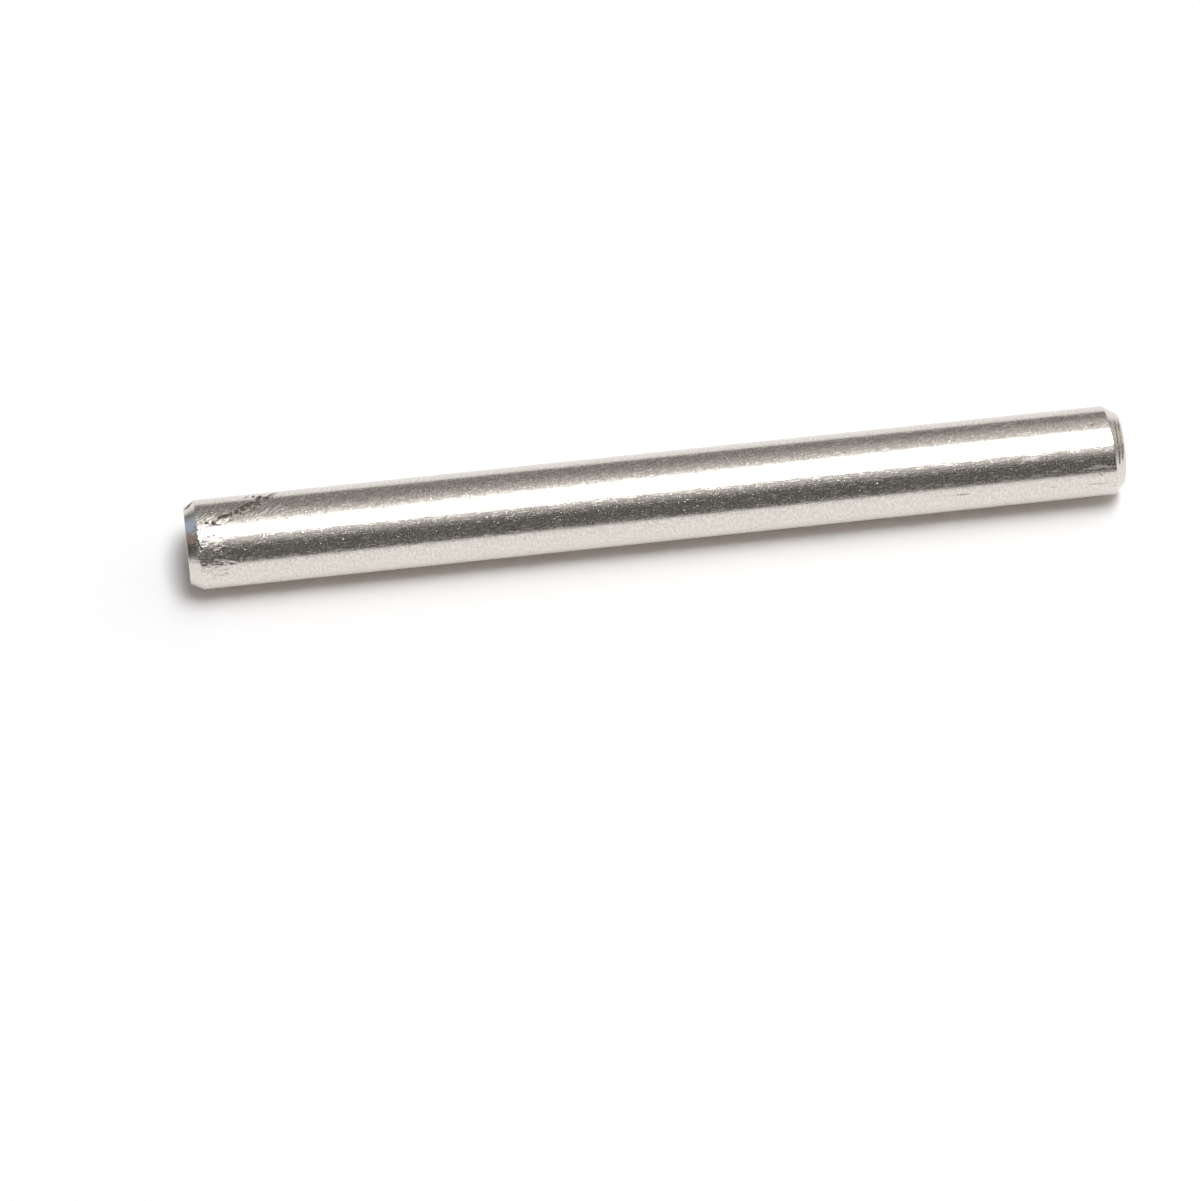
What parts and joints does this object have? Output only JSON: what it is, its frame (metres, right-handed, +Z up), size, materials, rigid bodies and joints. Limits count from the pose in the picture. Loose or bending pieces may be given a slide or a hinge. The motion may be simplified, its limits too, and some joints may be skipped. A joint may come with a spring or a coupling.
{
  "type": "brake pedal axle",
  "caption": "Plain ground steel pivot pin with a turned lead-in cone at either end, on which a brake pedal's hub turns.",
  "frame": {"origin": "middle of the pin's axis, halfway between its end faces", "axes": "+X along the pin's axis, from the crisp-rimmed gouged end to the round-nosed end; +Z up with the pin lying on its side"},
  "size_m": [0.084, 0.008, 0.008],
  "materials": {
    "ground_steel": "ground bright, with fine grinding grain, light handling scratches, a gouge near one end and turned end cones"
  },
  "bodies": {
    "root": {"brake_pedal_axle": "ground_steel"}
  },
  "joints": []
}
